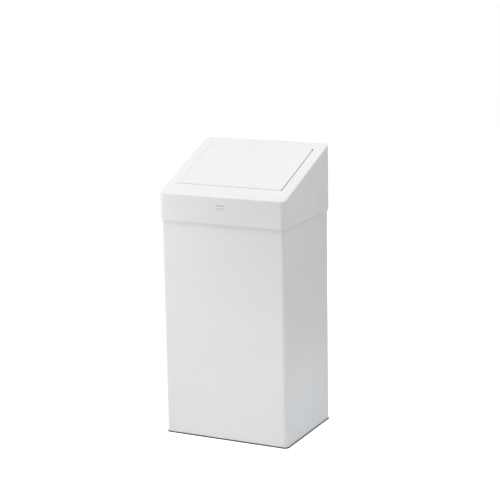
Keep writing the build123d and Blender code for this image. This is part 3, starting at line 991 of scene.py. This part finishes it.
# %% The flap's panel and ribs
flap_top = 1.3 * MM
flap_under = -1.3 * MM
flap_corner = 5 * MM
flap_edge = 0.9 * MM
ear_radius = 6 * MM
rib_outer = flap_half - rib_inset
rib_thickness = 2 * MM
rib_depth = 7 * MM
cross_rib_half = 0.8 * MM
cross_rib_depth = 4 * MM
front_rib = flap_start + rib_inset
rear_rib = pin.y - ear_radius - rib_thickness
rear_rib_half = 115.7 * MM
overlap = 0.5 * MM
flap = add_rounded_block(
    "push_flap", (-flap_half, flap_start, flap_under), (flap_half, flap_end, flap_top), flap_corner, 8
)
round_level(flap, flap_top, flap_edge, 4)
deep, shallow = flap_under - rib_depth, flap_under - cross_rib_depth
rib_head_level = flap_under + overlap
rib_middle = (front_rib + rear_rib) / 2
ribs = {
    "front_rib": ((-rib_outer, front_rib, deep), (rib_outer, front_rib + rib_thickness, rib_head_level)),
    "rear_rib": ((-rear_rib_half, rear_rib, deep), (rear_rib_half, rear_rib + rib_thickness, rib_head_level)),
    "right_rib": ((rib_outer - rib_thickness, front_rib, deep), (rib_outer, pin.y, rib_head_level)),
    "left_rib": ((-rib_outer, front_rib, deep), (rib_thickness - rib_outer, pin.y, rib_head_level)),
    "middle_rib": (
        (-rib_outer, rib_middle - cross_rib_half, shallow),
        (rib_outer, rib_middle + cross_rib_half, rib_head_level),
    ),
}
for side in (-1, 1):
    ribs[f"long_rib_{side}"] = (
        (side * flap_half / 3 - cross_rib_half, front_rib, shallow),
        (side * flap_half / 3 + cross_rib_half, rear_rib, rib_head_level),
    )
for name, (low, high) in ribs.items():
    carve(flap, add_block(name, low, high), "UNION")
print("flap with", len(ribs), "ribs:", len(flap.data.polygons), "faces")

# %% [markdown]
# Each ear is a round plate with a neck up to the panel. The lip runs under the front of the hood, where two
# rubber pads on it take the blow when the springs throw the flap shut.

# %% The flap's ears and lip
ear_thickness = 4 * MM
ear_inner = rib_outer - ear_thickness
pad_height = 1.5 * MM
pad_gap = 0.1 * MM
lip_top = -hood_wall - pad_gap - pad_height
ear = pin_round("ear", ear_radius, ear_inner, rib_outer)
neck = add_block(
    "neck", (ear_inner, pin.y - ear_radius, pin.z), (rib_outer, pin.y + ear_radius, rib_head_level)
)
carve(ear, neck, "UNION")
carve(flap, copy_of(ear, "left_ear", mirrored=True), "UNION")
carve(flap, ear, "UNION")
for side in (-1, 1):
    start, end = sorted((side * (ear_inner - past), side * (rib_outer + past)))
    carve(flap, pin_round("bore", rod_hole, start, end))
lip_inset, lip_reach = 8 * MM, 7 * MM
lip_half = flap_half - lip_inset
lip_start = flap_start - lip_reach
lip_thickness = 2 * MM
lip_corner = 0.9 * MM
lip = add_rounded_block(
    "stop_lip", (-lip_half, lip_start, lip_top - lip_thickness),
    (lip_half, front_rib + rib_thickness, lip_top), lip_corner, 3
)
carve(flap, lip, "UNION")
lay_on_slope(flap)
complete(flap, "flap", "flap_plastic", "flap", smooth=30)

# %% The rubber pads
pad_half = Vector((12 * MM, 2.5 * MM, 0))
pad_from_middle = 90 * MM
pad_from_lip_edge = 3 * MM
pad_corner = 1.25 * MM
pad_edge = 0.4 * MM
pad_rise = Vector((0, 0, pad_height))
for side, name in ((-1, "left"), (1, "right")):
    pad_middle = Vector((side * pad_from_middle, lip_start + pad_from_lip_edge, lip_top))
    pad = add_rounded_block(
        "rubber_pad_" + name, pad_middle - pad_half, pad_middle + pad_half + pad_rise, pad_corner, 5
    )
    round_level(pad, lip_top + pad_height, pad_edge, 3)
    lay_on_slope(pad)
    complete(pad, "flap", "buffer_rubber", "stop_buffer_" + name)

# %% [markdown]
# ## What carries the bag
# The bag hangs over a wire ring, and the ring lies in four hooks. A hook is a strip bent twice: a plate that
# is welded to the wall, a shelf, and a lip that keeps the wire from sliding off. It is drawn as a skin with
# two folds, the folds are rounded, and it gets its thickness last. One hook is made, and copied to the four
# places.

# %% The hooks
hook_low, hook_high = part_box("frame_bracket_right_rear")
hook_middle = (hook_low + hook_high) / 2
hook_sheet = 1.2 * MM
lip_height = 6.2 * MM
hook_bend, plate_corner, lip_end_corner, hook_edge = 1.9 * MM, 3 * MM, 2 * MM, 0.15 * MM
deselect()
bpy.ops.mesh.primitive_plane_add(size=1, location=(hook_high.x, hook_middle.y, hook_middle.z))
hook = named("bag_hook")
hook.rotation_euler.y = pi / 2
hook.scale = (hook_high.z - hook_low.z, hook_high.y - hook_low.y, 1)
settle(hook)
pick(hook, "EDGE", lambda p, d: near(p.z, hook_low.z))
extrude((hook_low.x - hook_high.x, 0, 0))
extrude((0, 0, lip_height))
pick(hook, "EDGE", lambda p, d: near(p.z, hook_low.z) and abs(d.y) > straight)
bevel(hook_bend, 5)
thicken(hook, hook_sheet)
pick(hook, "EDGE", lambda p, d: abs(d.x) > straight and near(p.z, hook_high.z))
bevel(plate_corner, 5)
pick(hook, "EDGE", lambda p, d: abs(d.x) > straight and near(p.z, hook_low.z + lip_height))
bevel(lip_end_corner, 5)
apply_modifier(hook, "BEVEL", width=hook_edge, segments=2, angle_limit=radians(50))
for side_name, mirrored in (("right", False), ("left", True)):
    for end_name, move in (("rear", 0), ("front", -2 * hook_middle.y)):
        twin = copy_of(hook, f"bag_hook_{side_name}_{end_name}", (0, move, 0), mirrored=mirrored)
        complete(twin, "body", "body_paint", f"frame_bracket_{side_name}_{end_name}")
bpy.data.objects.remove(hook)

# %% [markdown]
# The ring is one wire bent round four corners. Its path is a flat rectangle with round corners, turned into a
# curve, and the curve is given the wire's thickness. A sleeve crimped over the two ends joins them at the
# back.

# %% The bag ring
wire_low, wire_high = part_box("bag_frame")
wire_radius = 2.5 * MM
wire_bend = 12 * MM
wire_level = (wire_low.z + wire_high.z) / 2
deselect()
bpy.ops.mesh.primitive_plane_add(size=1, location=(0, 0, wire_level))
bag_ring = named("bag_ring")
bag_ring.scale = (wire_high.x - wire_low.x - 2 * wire_radius, wire_high.y - wire_low.y - 2 * wire_radius, 1)
settle(bag_ring)
pick(bag_ring, "VERT", lambda p, n: True)
bpy.ops.mesh.bevel(offset=wire_bend, segments=12, affect="VERTICES")
bpy.ops.mesh.select_all(action="SELECT")
bpy.ops.mesh.delete(type="ONLY_FACE")
only(bag_ring)
bpy.ops.object.convert(target="CURVE")
bag_ring = bpy.context.object
bag_ring.data.bevel_depth = wire_radius
bag_ring.data.bevel_resolution = 6
bpy.ops.object.convert(target="MESH")
bag_ring = bpy.context.object
turn_normals(bag_ring)
complete(bag_ring, "bag_holder", "zinc_steel", "bag_frame", smooth=60)

# %% The crimped sleeve
sleeve_low, sleeve_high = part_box("wire_sleeve")
sleeve_middle = (sleeve_low + sleeve_high) / 2
sleeve_radius = (sleeve_high.z - sleeve_low.z) / 2
deselect()
bpy.ops.mesh.primitive_cylinder_add(
    vertices=48, radius=sleeve_radius, depth=sleeve_high.x - sleeve_low.x, end_fill_type="NOTHING",
    location=sleeve_middle, rotation=(0, pi / 2, 0)
)
sleeve = named("crimp_sleeve")
settle(sleeve)
sleeve_wall = 0.7 * MM
sleeve_edge = 0.12 * MM
crimp_half = 1.6 * MM
crimp_squeeze = (1, 0.97, 0.91)
crimps = (-7 * MM, 0, 7 * MM)
for crimp in crimps:
    for edge in (-crimp_half, 0, crimp_half):
        pick(sleeve, "FACE", lambda p, n: True)
        bpy.ops.mesh.bisect(plane_co=(crimp + edge, 0, 0), plane_no=(1, 0, 0))
    pick(sleeve, "VERT", lambda p, n: near(p.x, crimp))
    bpy.ops.transform.resize(value=crimp_squeeze, center_override=(crimp, sleeve_middle.y, sleeve_middle.z))
thicken(sleeve, sleeve_wall)
apply_modifier(sleeve, "BEVEL", width=sleeve_edge, segments=2, angle_limit=radians(60))
complete(sleeve, "bag_holder", "zinc_steel", "wire_sleeve")


# %% [markdown]
# ## The hinge
# The flap turns on a drawn steel rod, with a groove near each end for a clip. On a lathe it would be turned
# from an outline, and so it is here: one point is pulled along the outline, and the line is spun about the
# axis.


# %% The rod
def turned(name, outline, middle, steps=40):
    """A piece turned about the X direction, from the points of its outline: how far along, and how thick."""
    deselect()
    bpy.ops.mesh.primitive_plane_add(size=MM, location=(0, 0, 0))
    piece = named(name)
    bpy.ops.object.mode_set(mode="EDIT")
    bpy.ops.mesh.merge(type="CENTER")
    bpy.ops.transform.translate(value=middle + Vector((outline[0][0], 0, outline[0][1])))
    for (along, radius), (next_along, next_radius) in zip(outline, outline[1:]):
        bpy.ops.mesh.extrude_vertices_move(
            TRANSFORM_OT_translate={"value": (next_along - along, 0, next_radius - radius)}
        )
    bpy.ops.mesh.select_all(action="SELECT")
    bpy.ops.mesh.spin(steps=steps, angle=2 * pi, center=middle, axis=(1, 0, 0))
    turn_normals(piece)
    return piece


rod_radius = 2 * MM
rod_end = rod_high.x
end_round = 0.4 * MM
end_round_dip = 0.3 * end_round
clip_play = 0.1 * MM
clip_thickness = 0.8 * MM
clip_start = lug_outer + clip_play
clip_end = clip_start + clip_thickness
groove_start, groove_end = clip_start - clip_play / 2, clip_end + clip_play / 2
rod_groove_depth = 0.5 * MM
groove_radius = rod_radius - rod_groove_depth
half_outline = [
    (rod_end, 0),
    (rod_end, rod_radius - end_round),
    (rod_end - end_round_dip, rod_radius - end_round_dip),
    (rod_end - end_round, rod_radius),
    (groove_end, rod_radius),
    (groove_end, groove_radius),
    (groove_start, groove_radius),
    (groove_start, rod_radius),
]
other_half = [(-along, radius) for along, radius in reversed(half_outline)]
rod = turned("hinge_bar", half_outline + other_half, hinge)
complete(rod, "hood", "rod_steel", "hinge_rod")

# %% [markdown]
# A clip is a flat spring ring with an open mouth, pushed into the groove from below. Two round bites in its
# bore leave the three prongs that hold the rod.

# %% The clips
clip_radius = 4.5 * MM
clip_bore = 1.55 * MM
clip_mouth = 1.4 * MM
clip_edge = 0.1 * MM
bite_radius = 1 * MM
bite_aside, bite_above = 1.75 * MM, 1 * MM
cut_start, cut_end = clip_start - past, clip_end + past
clip = pin_round("snap_clip_right", clip_radius, clip_start, clip_end)
carve(clip, pin_round("bore", clip_bore, cut_start, cut_end))
for side in (-1, 1):
    bite_y, bite_z = pin.y + side * bite_aside, pin.z + bite_above
    carve(clip, add_round("bite", bite_radius, (cut_start, bite_y, bite_z), (cut_end, bite_y, bite_z), 24))
carve(clip, add_block(
    "mouth", (cut_start, pin.y - clip_mouth, pin.z - clip_radius - past), (cut_end, pin.y + clip_mouth, pin.z)
))
apply_modifier(clip, "BEVEL", width=clip_edge, segments=2, angle_limit=radians(50))
lay_on_slope(clip)
left_clip = copy_of(clip, "snap_clip_left", mirrored=True)
complete(left_clip, "hood", "clip_steel", "rod_clip_left")
complete(clip, "hood", "clip_steel", "rod_clip_right")

# %% [markdown]
# A torsion spring sits on the rod at each side. Its short leg presses up against the hood and its long leg
# against the flap. The wire's middle line is a formula: straight along the first leg, round the rod while it
# climbs, and straight off again. A curve runs through those points and gets the wire's thickness. When the
# flap turns, one leg stays and the other goes with it, and the coil winds up between them, so the spring is
# tied to neither the hood nor the flap.

# %% The springs
coil_radius = 4 * MM
coil_wire = 0.7 * MM
coil_turns = 6
coil_pitch = 1.9 * MM
coil_steps = 20
hood_leg, flap_leg = 14 * MM, 34 * MM
leg_play = 0.1 * MM
leg_gap = coil_wire + leg_play
coil_from_ear = 2 * MM


def leg_rise(length, height):
    """The angle at which a leg leaves the coil so that its end just meets a face this high above the rod."""
    return atan2(length, coil_radius) - acos(height / hypot(length, coil_radius))


first_angle = pi / 2 + leg_rise(hood_leg, -hood_wall - leg_gap - pin.z)
last_angle = pi / 2 - leg_rise(flap_leg, flap_under - leg_gap - pin.z) + 2 * pi * coil_turns
climb = coil_pitch / (2 * pi)
coil_end = ear_inner - coil_from_ear
coil_start = coil_end - climb * (last_angle - first_angle)


def coil_point(angle):
    """The middle of the wire at this angle about the rod."""
    along = coil_start + climb * (angle - first_angle)
    return Vector((along, pin.y + coil_radius * cos(angle), pin.z + coil_radius * sin(angle)))


def coil_direction(angle):
    """The way the wire runs at this angle about the rod."""
    return Vector((climb, -coil_radius * sin(angle), coil_radius * cos(angle))).normalized()


step_count = coil_turns * coil_steps
angles = [first_angle + (last_angle - first_angle) * step / step_count for step in range(step_count + 1)]
route = [coil_point(angles[0]) - coil_direction(angles[0]) * hood_leg]
route += [coil_point(angle) for angle in angles]
route.append(coil_point(angles[-1]) + coil_direction(angles[-1]) * flap_leg)

deselect()
bpy.ops.curve.primitive_nurbs_path_add()
spring = named("return_coil_right")
spring.data.splines.clear()
line = spring.data.splines.new("POLY")
line.points.add(len(route) - 1)
for point, place in zip(line.points, route):
    point.co = (*place, 1)
spring.location = (0, 0, 0)
spring.data.bevel_depth = coil_wire
spring.data.bevel_resolution = 3
spring.data.use_fill_caps = True
bpy.ops.object.convert(target="MESH")
spring = bpy.context.object
lay_on_slope(spring)
turn_normals(spring)
left_spring = copy_of(spring, "return_coil_left", mirrored=True)
for piece, name, side in ((left_spring, "left", -1), (spring, "right", 1)):
    complete(piece, None, "spring_steel", "return_spring_" + name, smooth=60)
    start = Vector((side * (coil_start + coil_wire), hinge.y, hinge.z))
    end = Vector((side * (coil_end - coil_wire), hinge.y, hinge.z))
    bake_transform(piece)

# %% [markdown]
# ## The last lines
# The picture is shown with the plain Standard view.

# %% Finish
bpy.context.scene.view_settings.view_transform = "Standard"
